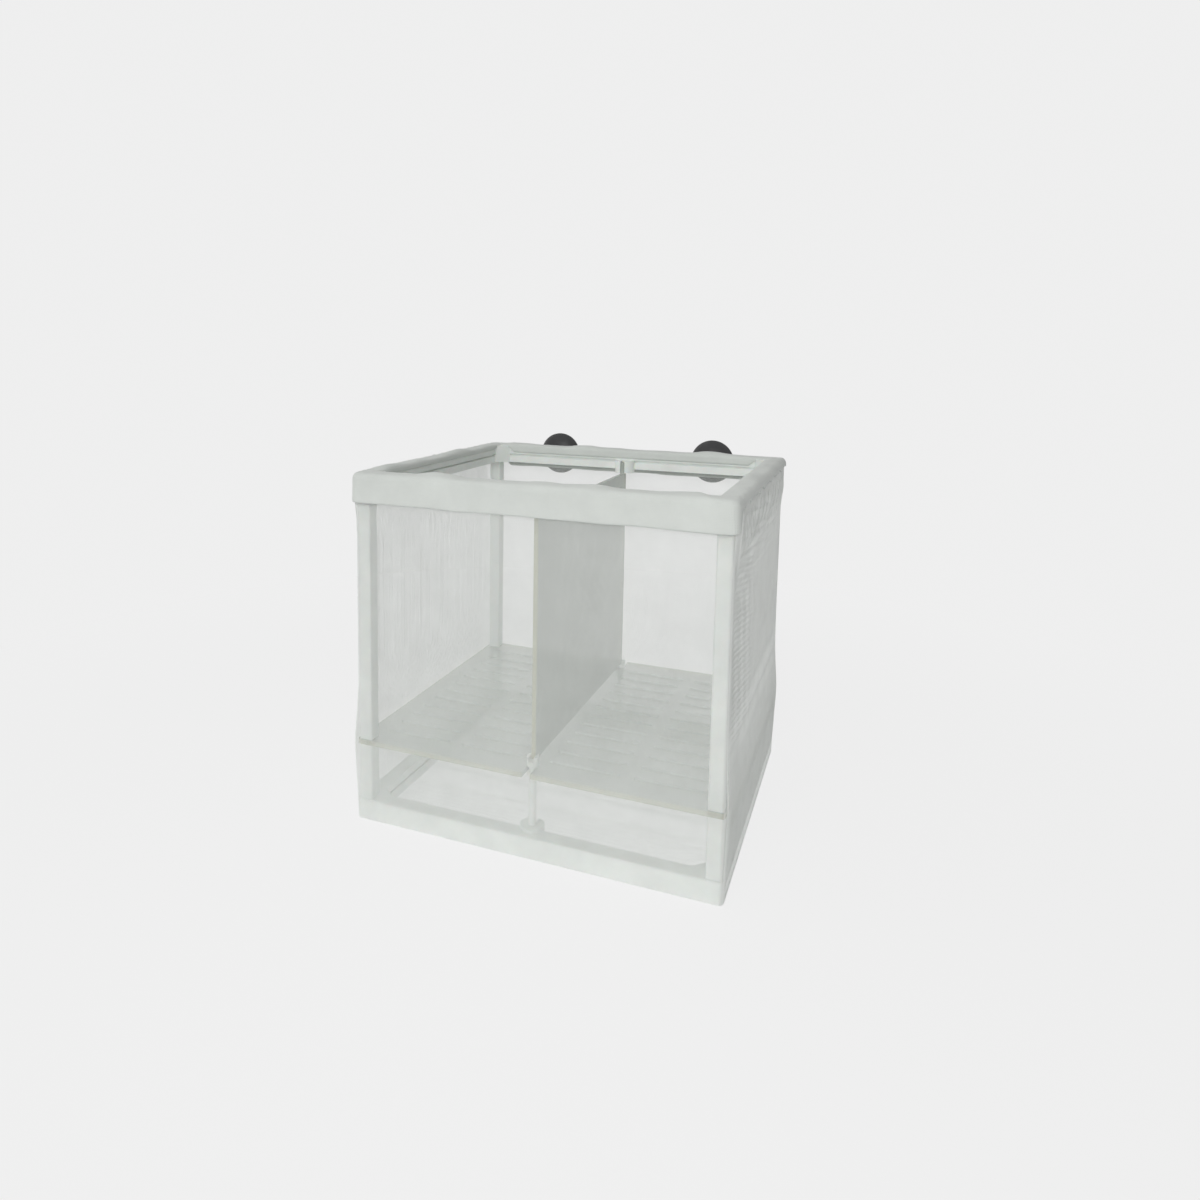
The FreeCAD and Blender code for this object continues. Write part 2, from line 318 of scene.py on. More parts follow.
def unrolled(threads, steps):
    """Flat places for the faces of threads_along: each thread's four sides lie side by side."""
    counts = (threads, steps - 1, 4)
    thread, step, side = np.meshgrid(*[np.arange(count) for count in counts], indexing="ij")
    left = (thread + 0.04 + 0.22 * side) / threads
    right = left + 0.22 / threads
    low = step / steps
    high = (step + 1) / steps
    sides = np.stack([left, low, left, high, right, high, right, low], axis=3).reshape(-1, 4, 2)
    start = (np.arange(2 * threads) % threads + 0.93) / threads
    end = start + 0.04 / threads
    base = np.full(2 * threads, 1 - 1 / steps)
    roof = base + 0.5 / steps
    caps = np.stack([start, base, end, base, end, roof, start, roof], axis=1)
    return np.concatenate([sides, caps.reshape(-1, 4, 2)])


def joined(parts):
    """Points, faces and flat places of several meshes as one, their maps side by side."""
    points = []
    quads = []
    places = []
    count = 0
    for number, (part_points, part_quads, part_places) in enumerate(parts):
        points.append(part_points)
        quads.append(part_quads + count)
        places.append((part_places + (number, 0)) / (len(parts), 1))
        count += len(part_points)
    return np.concatenate(points), np.concatenate(quads), np.concatenate(places)


# The four walls, each with the way its run and its outer side point
WALLS = {
    "front": ((1, 0), (0, -1)),
    "right": ((0, 1), (1, 0)),
    "rear": ((-1, 0), (0, 1)),
    "left": ((0, -1), (-1, 0)),
}
corner_radius = 2.2 * mm

# How far the collar's two plan loops lie outside and inside the ring's outer face
collar_out = 0.8 * mm
collar_in = 7.4 * mm
collar_span = 8.2 * mm
collar_corner = 2 * mm
flap_rows = 7

# Heights of the walls' upper edges under the collar
WALL_TOPS = {"front": 147 * mm, "rear": 143.4 * mm, "left": 150.4 * mm, "right": 150.4 * mm}

# How much the see-through sheets hide
floor_alpha = 0.46
divider_alpha = 0.7
# Width of the band along the plates' outer edges that gets the painted edge glow
glow_band = 0.5 * mm


def wall_halves(wall):
    """Half the straight run of a wall, and its distance from the middle, at the mesh."""
    stand_off = bpy.context.scene.net_mesh.stand_off
    half_x = frame_x + stand_off
    half_y = frame_y + stand_off
    if wall in ("front", "rear"):
        return half_x - corner_radius, half_y
    return half_y - corner_radius, half_x


def bag_swell(height):
    """How far the mesh stands out at a height: pushed by the plate, pulled in to the posts."""
    settings = bpy.context.scene.net_mesh
    plate = (plate_low.z + plate_high.z) / 2
    rounding = 4 * mm
    away = np.hypot(height - plate, rounding) - rounding
    above = np.exp(-away / (10 * mm))
    below = np.clip(1 - away / (26 * mm), 0, 1)
    push = settings.plate_bulge * np.where(height > plate, above, below)
    pull = smooth_step(plate + 4 * mm, plate + 28 * mm, height)
    pull = pull * smooth_step(0, 14 * mm, top_low.z - height)
    return push - settings.post_pull * pull


def wall_profile(distance, top):
    """Height, swell and normal of a wall at a distance down from its top edge, round into the floor."""
    bend = ring_edge_radius + bpy.context.scene.net_mesh.stand_off
    bend_top = frame_bottom + ring_edge_radius
    straight = top - bend_top
    angle = np.clip((distance - straight) / bend, 0, math.pi / 2)
    height = np.where(distance < straight, top - distance, bend_top - bend * np.sin(angle))
    swell = bag_swell(height) * (angle == 0) - bend * (1 - np.cos(angle))
    return height, swell, np.cos(angle), -np.sin(angle)


def side_hem(wall, run):
    """Height of the collar's ragged lower edge along a side wall."""
    settings = bpy.context.scene.net_collar
    to_rear = to_rear_of(wall, run)
    seed = 0.2 if wall == "right" else 2.6
    scallop = 0.9 * mm * ripple(to_rear, 19 * mm, seed)
    scallop = scallop + 0.4 * mm * ripple(to_rear, 7.5 * mm, seed + 1.1)
    return collar_top() - settings.side_skirt - scallop


def collar_top():
    """Height of the collar's upper face over the rails."""
    return frame_top + bpy.context.scene.net_collar.thickness + 0.05 * mm


def to_rear_of(wall, run):
    """Distance of a place on a side wall from the wall's front end."""
    straight, _ = wall_halves(wall)
    return straight + run if wall == "right" else straight - run


def side_folds(wall, run, height):
    """Ribs beside the front post, folds and puckers under the seam: how far out, and how bunched."""
    settings = bpy.context.scene.net_mesh
    straight, _ = wall_halves(wall)
    seed = 0.7 if wall == "right" else 3.1
    rib_slope = math.radians(10)
    rib_spacing = 2.4 * mm
    fold_slope = math.radians(6)
    fold_spacing = 5.2 * mm
    to_rear = to_rear_of(wall, run)
    inside = smooth_step(0, 5 * mm, straight - np.abs(run))
    rib_line = height + to_rear * math.tan(rib_slope) + 0.12 * mm * ripple(to_rear, 60 * mm, seed)
    rib_reach = smooth_step(0.5 * mm, 4 * mm, to_rear) * (1 - smooth_step(26 * mm, 66 * mm, to_rear))
    rib_span = smooth_step(50 * mm, 64 * mm, height) * (1 - smooth_step(122 * mm, 130 * mm, height))
    rib_share = 0.8 + 0.2 * ripple(rib_line, 13 * mm, seed)
    ribs = (0.5 + 0.5 * np.cos(2 * math.pi * rib_line / rib_spacing)) * rib_reach * rib_span * rib_share
    fold_line = height + to_rear * math.tan(fold_slope) + 0.5 * mm * ripple(to_rear, 90 * mm, seed + 1)
    fold_fade = 1 - 0.6 * smooth_step(40 * mm, 120 * mm, to_rear)
    fold_reach = smooth_step(2 * mm, 8 * mm, to_rear) * fold_fade
    fold_span = smooth_step(114 * mm, 130 * mm, height)
    fold_wave = np.clip(0.3 + 0.75 * ripple(fold_line, fold_spacing, seed), 0, 1)
    folds = fold_wave * fold_reach * fold_span * inside
    slant = to_rear + 0.9 * (frame_top - height) + 1.5 * mm * ripple(to_rear, 31 * mm, seed)
    pucker_fade = 1 - smooth_step(144 * mm, 147 * mm, height)
    pucker_span = smooth_step(124 * mm, 138 * mm, height) * pucker_fade
    puckers = np.clip(0.4 + 0.6 * ripple(slant, 13 * mm, seed), 0, 1) * pucker_span * inside
    hem = side_hem(wall, run)
    under_hem = 1 - smooth_step(hem - 0.2 * mm, hem + 0.5 * mm, height)
    hang = smooth_step(116 * mm, 138 * mm, height) * under_hem * inside
    out = settings.rib_height * (ribs + 1.2 * folds) + settings.pucker_height * puckers
    out = out + settings.hang * hang
    return out, np.clip(0.14 * ribs ** 2 + 0.18 * folds ** 2 + 0.24 * puckers ** 3, 0, 1)


def side_lean(wall, run, height):
    """How steeply the folds of a side wall rise along its run and up it."""
    step = 0.1 * mm
    along = side_folds(wall, run + step, height)[0] - side_folds(wall, run - step, height)[0]
    upward = side_folds(wall, run, height + step)[0] - side_folds(wall, run, height - step)[0]
    return along / (2 * step), upward / (2 * step)


def wall_grid(wall, runs, downs, top):
    """Points and normals of a wall by run along it and distance down it, and how bunched it is."""
    straight, out = wall_halves(wall)
    run, down = np.meshgrid(runs, downs, indexing="ij")
    turn = np.clip((np.abs(run) - straight) / corner_radius, 0, math.pi / 4) * np.sign(run)
    height, swell, level, upward = wall_profile(down, top)
    bunched = np.zeros_like(run)
    lean = (bunched, bunched)
    if wall in ("left", "right"):
        out_by, bunched = side_folds(wall, run, height)
        lean = side_lean(wall, run, height)
        swell = swell + out_by
    along = np.clip(run, -straight, straight) + (corner_radius + swell) * np.sin(turn)
    outward = out - corner_radius + (corner_radius + swell) * np.cos(turn)
    run_way, out_way = WALLS[wall]
    points = np.stack([along * run_way[i] + outward * out_way[i] for i in (0, 1)] + [height], axis=2)
    flat = [(np.sin(turn) - lean[0]) * run_way[i] + np.cos(turn) * out_way[i] for i in (0, 1)]
    normals = np.stack([flat[0] * level, flat[1] * level, upward - lean[1]], axis=2)
    normals /= np.linalg.norm(normals, axis=2, keepdims=True)
    return points, normals, bunched


def spaced(length, pitch):
    """Even places along a length, half a step in from both ends."""
    count = round(length / pitch)
    return (np.arange(count) + 0.5) * length / count


def uneven(places, pitch):
    """The places with the small unevenness of a woven net, the same on each run."""
    slip = np.random.default_rng(7).uniform(-0.35, 0.35, len(places))
    return places + pitch * slip


def mesh_wall(wall, top):
    """One wall of the bag as crossed threads, the level ones outside: the piece and its flat size."""
    settings = bpy.context.scene.net_mesh
    straight, _ = wall_halves(wall)
    half_run = straight + corner_radius * math.pi / 4
    bend = ring_edge_radius + settings.stand_off
    depth = top - frame_bottom - ring_edge_radius + bend * math.pi / 2
    width = settings.pitch * settings.thread_share
    uprights = spaced(2 * half_run, settings.pitch) - half_run
    if wall == "left":
        uprights = uneven(uprights, settings.pitch)
    seam = [half_run - 0.15 * mm - 0.25 * mm * step for step in range(3)]
    uprights = np.sort(np.concatenate([uprights, seam, [-place for place in seam]]))
    points, normals, _ = wall_grid(wall, uprights, down_steps(wall, top, depth, bend), top)
    parts = [threads_along(points - normals * 0.3 * width, normals, width)]
    levels = spaced(depth, settings.pitch)
    for low, high, front_step, rear_step in level_zones(wall):
        chosen = levels[(top - levels > low) & (top - levels <= high)]
        runs = level_steps(wall, straight, half_run, front_step, rear_step)
        points, normals, bunched = wall_grid(wall, runs, chosen, top)
        points = points.transpose(1, 0, 2)
        normals = normals.transpose(1, 0, 2)
        widths = width * (1 + 2 * bunched.T)
        parts.append(threads_along(points + normals * 0.3 * width, normals, widths))
    piece = mesh_object("mesh_wall_" + wall, *joined(parts))
    return piece, (2 * half_run, depth)


def level_zones(wall):
    """Bands of a wall, low and high, with the steps of their level threads at front and rear."""
    if wall in ("front", "rear"):
        return [(-1.0, 1.0, 80 * mm, 80 * mm)]
    return [
        (-1.0, 48 * mm, 20 * mm, 20 * mm),
        (48 * mm, 112 * mm, 3.4 * mm, 16 * mm),
        (112 * mm, 1.0, 3 * mm, 3.6 * mm),
    ]


def level_steps(wall, straight, half_run, front_step, rear_step):
    """Places where a level thread may bend, closer together near the front and round the corners."""
    front_reach = 64 * mm
    front = np.arange(0, front_reach, front_step)
    rear_count = math.ceil((2 * straight - front_reach) / rear_step) + 1
    rear = np.linspace(front_reach, 2 * straight, rear_count)
    places = np.concatenate([front, rear]) - straight
    if wall == "left":
        places = -places[::-1]
    corner = np.linspace(straight, half_run, 4)[1:]
    return np.concatenate([-corner[::-1], places, corner])


def down_steps(wall, top, depth, bend):
    """Distances down a wall at which an upright thread may bend."""
    plate = (plate_low.z + plate_high.z) / 2
    gathers_low = 112 * mm
    gather_step = 10 * mm if wall in ("front", "rear") else 3.8 * mm
    above = plate + 32 * mm * np.linspace(1, 0, 6) ** 1.6
    below = plate - (plate - frame_bottom - 8 * mm) * np.linspace(0, 1, 4)[1:]
    heights = np.concatenate([
        np.arange(top, top - 4.8 * mm, -0.8 * mm),
        np.arange(top - 4.8 * mm, gathers_low, -gather_step),
        np.linspace(gathers_low, above[0], 4)[:-1],
        above,
        below,
    ])
    return np.concatenate([top - heights, np.linspace(depth - bend * math.pi / 2, depth, 4)])


def mesh_floor():
    """The floor of the bag as crossed threads, with its corners rounded off."""
    settings = bpy.context.scene.net_mesh
    width = settings.pitch * settings.thread_share
    half_x = frame_x - ring_edge_radius
    half_y = frame_y - ring_edge_radius
    radius = corner_radius - ring_edge_radius - settings.stand_off
    level = frame_bottom - settings.stand_off
    parts = []
    for half_run, half_side, swap in ((half_x, half_y, False), (half_y, half_x, True)):
        sides = spaced(2 * half_side, settings.pitch) - half_side
        past = np.clip(np.abs(sides) - (half_side - radius), 0, radius)
        reach = half_run - radius + np.sqrt(radius * radius - past * past)
        runs = reach[:, None] * np.linspace(-1, 1, 7)[None, :]
        across = np.repeat(sides[:, None], 7, axis=1)
        lift = (0.3 if swap else -0.3) * width
        height = np.full_like(runs, level + lift)
        plan = [across, runs] if swap else [runs, across]
        points = np.stack(plan + [height], axis=2)
        normals = np.broadcast_to(np.array([0.0, 0.0, -1.0]), points.shape)
        parts.append(threads_along(points, normals, width))
    piece = mesh_object("mesh_floor", *joined(parts))
    return piece, (2 * half_x, 2 * half_y)


def loop_stations(half_x, half_y, radius, along, round_steps):
    """Plan points once round a rounded rectangle, from the front left corner on to the right."""
    points = []
    for wall, (run_way, out_way) in WALLS.items():
        straight, out = (half_x, half_y) if wall in ("front", "rear") else (half_y, half_x)
        straight -= radius
        turn = np.linspace(0, math.pi / 2, round_steps + 2)[1:-1]
        level = np.linspace(-straight, straight, along)
        run = np.concatenate([level, straight + radius * np.sin(turn)])
        outward = np.concatenate([np.full(along, out), out - radius + radius * np.cos(turn)])
        points.append(np.stack([run * run_way[i] + outward * out_way[i] for i in (0, 1)], axis=1))
    return np.concatenate(points)


def collar_section(skirt, flap, rows):
    """Offset from the ring's outer face and height along the collar, from its hem to its flap edge."""
    thickness = bpy.context.scene.net_collar.thickness
    outside = 0.4 * mm + thickness / 2 + 0.05 * mm
    inside = -rail_width - thickness / 2 - 0.03 * mm
    crown = frame_top + thickness / 2 + 0.05 * mm
    outer_bend = 2.1 * mm
    inner_bend = 0.9 * mm
    hem = np.linspace(0, 1, rows)
    low = collar_top() - skirt
    flap_low = collar_top() - flap
    bend = np.linspace(0, math.pi / 2, 7)[1:-1]
    offsets = [np.full(rows, outside)]
    heights = [low + (crown - outer_bend - low) * hem]
    offsets.append(outside - outer_bend * (1 - np.cos(bend)))
    heights.append(crown - outer_bend + outer_bend * np.sin(bend))
    top = np.linspace(outside - outer_bend, inside + inner_bend, 11)
    offsets.append(top)
    heights.append(np.full(11, crown))
    offsets.append(inside + inner_bend * (1 - np.sin(bend)))
    heights.append(crown - inner_bend * (1 - np.cos(bend)))
    fall = np.linspace(0, 1, flap_rows)
    offsets.append(np.full(flap_rows, inside))
    heights.append(crown - inner_bend + (min(flap_low, crown - inner_bend) - crown + inner_bend) * fall)
    return np.concatenate(offsets), np.concatenate(heights)


def collar_band():
    """The collar as one loop of folded cloth over the top ring: the piece, its flat size and its area."""
    settings = bpy.context.scene.net_collar
    along = 150
    round_steps = 8
    rows = 16
    thickness = settings.thickness
    outer_radius = 2.8 * mm
    inner_radius = 0.6 * mm
    outer = loop_stations(frame_x + collar_out, frame_y + collar_out, outer_radius, along, round_steps)
    inner = loop_stations(frame_x - collar_in, frame_y - collar_in, inner_radius, along, round_steps)
    step = np.linalg.norm(np.roll(outer, -1, 0) - outer, axis=1)
    total = step.sum()
    place = np.concatenate([[0], np.cumsum(step)[:-1]])
    per_wall = along + round_steps
    columns = []
    for number in range(len(outer)):
        wall = list(WALLS)[number // per_wall]
        spot = number % per_wall
        straight = (frame_x if wall in ("front", "rear") else frame_y) - collar_corner
        run = straight * (2 * spot / (along - 1) - 1) if spot < along else straight
        end = straight - abs(run) if spot < along else 0.0
        columns.append(collar_column(wall, run, end, place[number], total, settings, rows))
    offsets = np.array([column[0] for column in columns])
    heights = np.array([column[1] for column in columns])
    share = (offsets + collar_in) / collar_span
    plan = inner[:, None, :] + (outer - inner)[:, None, :] * share[:, :, None]
    middle = np.concatenate([plan, heights[:, :, None]], axis=2)
    ahead = np.roll(middle, -1, 0) - np.roll(middle, 1, 0)
    up = np.gradient(middle, axis=1)
    normals = np.cross(ahead, up)
    normals /= np.linalg.norm(normals, axis=2, keepdims=True)
    rows_all = middle.shape[1]
    edge = np.minimum(np.arange(rows_all), np.arange(rows_all)[::-1])
    half = thickness / 2 * np.where(edge == 0, 0.35, np.where(edge == 1, 0.85, 1.0))
    outside = middle + normals * half[None, :, None]
    inside = middle - normals * half[None, :, None]
    from_stem = np.hypot(np.abs(middle[:, :, 0]) - cup_x, middle[:, :, 2] - cup_z)
    near_stem = (from_stem < stem_radius + 0.9 * mm) & (middle[:, :, 1] > frame_y)
    piece = shell("collar_band", outside, inside, near_stem)
    strip = np.linalg.norm(np.diff(middle, axis=1), axis=2).sum(axis=1)
    area = (strip * step).sum()
    return piece, (total, strip.max()), area


def rear_end(run):
    """The run at which the side wall nearest to a place on the rear wall ends at the rear."""
    return (frame_y - collar_corner) * (1 if run < 0 else -1)


def collar_column(wall, run, end, place, total, settings, rows):
    """One station of the collar: its offsets and heights, with the waves of soft cloth."""
    side = wall in ("left", "right")

    def wave(length, seed):
        return float(ripple(place, total / round(total / length), seed))

    if side:
        at_rear = (run > 0) == (wall == "right")
        drop = 0.0 if at_rear else 1 - float(smooth_step(0.2 * mm, 2.4 * mm, end))
        skirt = collar_top() - float(side_hem(wall, run))
        skirt += (settings.front_skirt - skirt) * drop
    else:
        skirt = settings.front_skirt + 0.22 * mm * wave(48 * mm, 2.0)
        if wall == "rear":
            corner_skirt = collar_top() - float(side_hem("right" if run < 0 else "left", rear_end(run)))
            skirt += (corner_skirt - skirt) * (1 - float(smooth_step(1 * mm, 9 * mm, end)))
    flap_share = float(smooth_step(gusset_leg - 1.5 * mm, gusset_leg + 3 * mm, end))
    flap_depth = settings.flap if not side else settings.flap * 0.62
    flap = 1.6 * mm + (flap_depth - 1.6 * mm) * flap_share
    offsets, heights = collar_section(skirt, flap, rows)
    from_hem = np.clip((heights - heights[0]) / (12 * mm), 0, 1)
    skirt_rows = np.arange(len(offsets)) < rows
    roll = 0.12 * mm * wave(33 * mm, 0.4) + 0.10 * mm * wave(71 * mm, 1.9)
    offsets = offsets + np.where(skirt_rows, roll + 0.25 * mm * (1 - from_hem) ** 2, 0)
    inward = np.clip((collar_out - offsets) / collar_span, 0, 1)
    lift = settings.puff * max(0.0, 0.35 + 0.65 * wave(62 * mm, 4.4)) * flap_share
    hump = np.sin(math.pi * inward ** 1.6)
    falling = np.arange(len(offsets)) >= len(offsets) - flap_rows
    heights = heights + lift * hump * ~falling
    if side:
        gather = 0.22 * mm * wave(4.2 * mm, 0.9) + 0.15 * mm * wave(7.7 * mm, 2.2)
        outer_part = np.exp(-((inward - 0.12) / 0.16) ** 2) * (1 - drop)
        heights = heights + gather * outer_part * ~skirt_rows
    else:
        heights = heights + 0.12 * mm * wave(21 * mm, 3.3) * hump
    return offsets, heights


def shell(name, outside, inside, gap):
    """A closed loop of cloth from its two faces, open where the gap says so."""
    stations, rows = outside.shape[:2]
    number = np.arange(stations * rows).reshape(stations, rows)
    points = np.concatenate([outside.reshape(-1, 3), inside.reshape(-1, 3)])
    back = stations * rows
    ahead = np.roll(number, -1, 0)
    gap_ahead = np.roll(gap, -1, 0)
    corners = np.stack([number[:, :-1], ahead[:, :-1], ahead[:, 1:], number[:, 1:]], axis=2)
    open_face = gap[:, :-1] & gap_ahead[:, :-1] & gap_ahead[:, 1:] & gap[:, 1:]
    kept = corners[~open_face]
    quads = [kept, kept[:, ::-1] + back]
    edges = {}
    for face in kept.tolist():
        for start, stop in zip(face, face[1:] + face[:1]):
            edges[(start, stop)] = True
    rims = [(a, b) for a, b in edges if (b, a) not in edges]
    quads.append(np.array([(a, a + back, b + back, b) for a, b in rims]))
    return mesh_object(name, points, np.concatenate(quads))


def new_material(name, roughness):
    """An empty finish: the material, its nodes, its links and its shader."""
    material = bpy.data.materials.new(name)
    material.use_nodes = True
    tree = material.node_tree
    shader = tree.nodes["Principled BSDF"]
    shader.inputs["Roughness"].default_value = roughness
    return material, tree.nodes, tree.links, shader


def add_node(nodes, kind, **values):
    """A node with some of its inputs set by name."""
    node = nodes.new(kind)
    for key, value in values.items():
        node.inputs[key.replace("_", " ")].default_value = value
    return node


def object_noise(nodes, links, scale, detail):
    """Noise fixed to the object."""
    place = nodes.new("ShaderNodeTexCoord")
    noise = add_node(nodes, "ShaderNodeTexNoise", Scale=scale, Detail=detail, Roughness=0.55)
    links.new(place.outputs["Object"], noise.inputs["Vector"])
    return noise.outputs["Fac"]


def mottle(nodes, links, value, low, high):
    """A colour that wanders between two."""
    ramp = nodes.new("ShaderNodeValToRGB")
    ramp.color_ramp.elements[0].position = 0.32
    ramp.color_ramp.elements[1].position = 0.68
    ramp.color_ramp.elements[0].color = low
    ramp.color_ramp.elements[1].color = high
    links.new(value, ramp.inputs["Fac"])
    return ramp.outputs["Color"]


def spread(nodes, links, value, low, high):
    """A number that wanders between two."""
    ranged = nodes.new("ShaderNodeMapRange")
    ranged.inputs["From Min"].default_value = 0.3
    ranged.inputs["From Max"].default_value = 0.7
    ranged.inputs["To Min"].default_value = low
    ranged.inputs["To Max"].default_value = high
    links.new(value, ranged.inputs["Value"])
    return ranged.outputs["Result"]


def add_bump(nodes, links, shader, height, distance, strength):
    """Fine relief on a surface."""
    bump = add_node(nodes, "ShaderNodeBump", Strength=strength, Distance=distance)
    links.new(height, bump.inputs["Height"])
    links.new(bump.outputs["Normal"], shader.inputs["Normal"])


def shade(colour, factor):
    """The same colour, lighter or darker."""
    return tuple(min(1.0, channel * factor) for channel in colour[:3]) + (1.0,)


def weave_height(nodes, links, spacing):
    """Threads in all three directions, as a height."""
    place = nodes.new("ShaderNodeTexCoord")
    total = None
    for way in ("X", "Y", "Z"):
        wave = nodes.new("ShaderNodeTexWave")
        wave.bands_direction = way
        wave.inputs["Scale"].default_value = 0.314 / spacing
        links.new(place.outputs["Object"], wave.inputs["Vector"])
        if total is None:
            total = wave.outputs["Fac"]
            continue
        add = nodes.new("ShaderNodeMath")
        add.operation = "ADD"
        links.new(total, add.inputs[0])
        links.new(wave.outputs["Fac"], add.inputs[1])
        total = add.outputs["Value"]
    return total


def thread_finish(colour):
    """Pale nylon thread."""
    material, nodes, links, shader = new_material("mesh_thread", 0.55)
    noise = object_noise(nodes, links, 90, 3)
    tint = mottle(nodes, links, noise, shade(colour, 0.96), shade(colour, 1.03))
    links.new(tint, shader.inputs["Base Color"])
    fine = object_noise(nodes, links, 1500, 2)
    links.new(spread(nodes, links, fine, 0.48, 0.64), shader.inputs["Roughness"])
    shader.inputs["Sheen Weight"].default_value = 0.2
    shader.inputs["Sheen Roughness"].default_value = 0.5
    return material


def cloth_finish(colour):
    """White woven cloth."""
    material, nodes, links, shader = new_material("collar_cloth", 0.8)
    noise = object_noise(nodes, links, 70, 4)
    tint = mottle(nodes, links, noise, shade(colour, 0.95), shade(colour, 1.03))
    links.new(tint, shader.inputs["Base Color"])
    fine = object_noise(nodes, links, 900, 2)
    links.new(spread(nodes, links, fine, 0.72, 0.88), shader.inputs["Roughness"])
    add_bump(nodes, links, shader, weave_height(nodes, links, 0.55 * mm), 0.06 * mm, 0.5)
    shader.inputs["Sheen Weight"].default_value = 0.25
    shader.inputs["Sheen Roughness"].default_value = 0.6
    return material


def plastic_finish(colour):
    """Satin milky plastic with a faint moulded grain."""
    material, nodes, links, shader = new_material("milky_plastic", 0.4)
    noise = object_noise(nodes, links, 120, 4)
    tint = mottle(nodes, links, noise, shade(colour, 0.96), shade(colour, 1.03))
    links.new(tint, shader.inputs["Base Color"])
    broad = object_noise(nodes, links, 45, 3)
    links.new(spread(nodes, links, broad, 0.34, 0.5), shader.inputs["Roughness"])
    add_bump(nodes, links, shader, object_noise(nodes, links, 1600, 2), 0.03 * mm, 0.25)
    shader.inputs["Subsurface Weight"].default_value = 0.12
    shader.inputs["Subsurface Scale"].default_value = 2 * mm
    return material


def math_node(nodes, links, operation, first, second):
    """A sum or comparison of a value with another value or a number."""
    node = nodes.new("ShaderNodeMath")
    node.operation = operation
    links.new(first, node.inputs[0])
    if isinstance(second, float):
        node.inputs[1].default_value = second
    else:
        links.new(second, node.inputs[1])
    return node.outputs["Value"]


def edge_glow_mask(nodes, links, face_axis, rims):
    """Where the painted edge glow goes: 1 on the cut edges of a sheet outside the given distances, 0 on
    its faces and its slots.
    """
    place = nodes.new("ShaderNodeTexCoord")
    way = nodes.new("ShaderNodeSeparateXYZ")
    links.new(place.outputs["Normal"], way.inputs["Vector"])
    spot = nodes.new("ShaderNodeSeparateXYZ")
    links.new(place.outputs["Object"], spot.inputs["Vector"])
    flat = math_node(nodes, links, "ABSOLUTE", way.outputs[face_axis], 0.0)
    cut = math_node(nodes, links, "LESS_THAN", flat, 0.6)
    outside = None
    for axis, distance in rims.items():
        reach = math_node(nodes, links, "ABSOLUTE", spot.outputs[axis], 0.0)
        past = math_node(nodes, links, "GREATER_THAN", reach, distance)
        outside = past if outside is None else math_node(nodes, links, "MAXIMUM", outside, past)
    return math_node(nodes, links, "MULTIPLY", cut, outside)


def plate_finish(name, colour, edge_glow_colour, face_axis, rims, alpha):
    """Tinted see-through sheet whose outer cut edges carry a painted yellow-green edge glow."""
    material, nodes, links, shader = new_material(name, 0.16)
    noise = object_noise(nodes, links, 55, 4)
    face = mottle(nodes, links, noise, shade(colour, 0.94), shade(colour, 1.05))
    # Painted edge glow: the glow colour is mixed into the base colour on the outer cut edges
    mix = nodes.new("ShaderNodeMixRGB")
    mix.inputs["Color2"].default_value = edge_glow_colour
    links.new(edge_glow_mask(nodes, links, face_axis, rims), mix.inputs["Fac"])
    links.new(face, mix.inputs["Color1"])
    links.new(mix.outputs["Color"], shader.inputs["Base Color"])
    scuffs = object_noise(nodes, links, 320, 5)
    links.new(spread(nodes, links, scuffs, 0.10, 0.26), shader.inputs["Roughness"])
    add_bump(nodes, links, shader, object_noise(nodes, links, 28, 2), 0.3 * mm, 0.12)
    shader.inputs["Alpha"].default_value = alpha
    return material


def rubber_finish(colour):
    """Soft black rubber."""
    material, nodes, links, shader = new_material("black_rubber", 0.45)
    noise = object_noise(nodes, links, 150, 4)
    tint = mottle(nodes, links, noise, shade(colour, 0.8), shade(colour, 1.5))
    links.new(tint, shader.inputs["Base Color"])
    broad = object_noise(nodes, links, 60, 3)
    links.new(spread(nodes, links, broad, 0.36, 0.56), shader.inputs["Roughness"])
    add_bump(nodes, links, shader, object_noise(nodes, links, 900, 3), 0.04 * mm, 0.3)
    return material


def dress(piece, material):
    """Gives a piece one finish."""
    piece.data.materials.clear()
    piece.data.materials.append(material)


class NET_OT_mesh_bag(bpy.types.Operator):
    """Makes the four walls and the floor of the mesh bag from crossed threads."""

    bl_idname = "breeding_net.mesh_bag"
    bl_label = "Mesh bag"

    def execute(self, context):
        finish = thread_finish(tuple(context.scene.net_mesh.thread_colour))
        made = [(mesh_wall(wall, WALL_TOPS[wall]), "net_" + wall) for wall in WALLS]
        made.append((mesh_floor(), "net_bottom"))
        for (piece, flat), node in made:
            dress(piece, finish)
            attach(piece, "frame")
            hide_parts(node)
        return {"FINISHED"}


class NET_OT_collar(bpy.types.Operator):
    """Makes the cloth collar that is turned over the top ring."""

    bl_idname = "breeding_net.collar"
    bl_label = "Collar"

    def execute(self, context):
        piece, flat, area = collar_band()
        dress(piece, cloth_finish(tuple(context.scene.net_collar.cloth_colour)))
        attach(piece, "frame")
        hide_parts("collar_front", "collar_rear", "collar_left", "collar_right")
        return {"FINISHED"}


class NET_OT_moulded_frame(bpy.types.Operator):
    """Finishes the rings, posts and rods in milky plastic."""

    bl_idname = "breeding_net.moulded_frame"
    bl_label = "Moulded frame"

    def execute(self, context):
        finish = plastic_finish(tuple(context.scene.net_finish.plastic_colour))
        for name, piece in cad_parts.items():
            if "post" in name or "rod" in name or name.endswith("_frame"):
                dress(piece, finish)
        return {"FINISHED"}


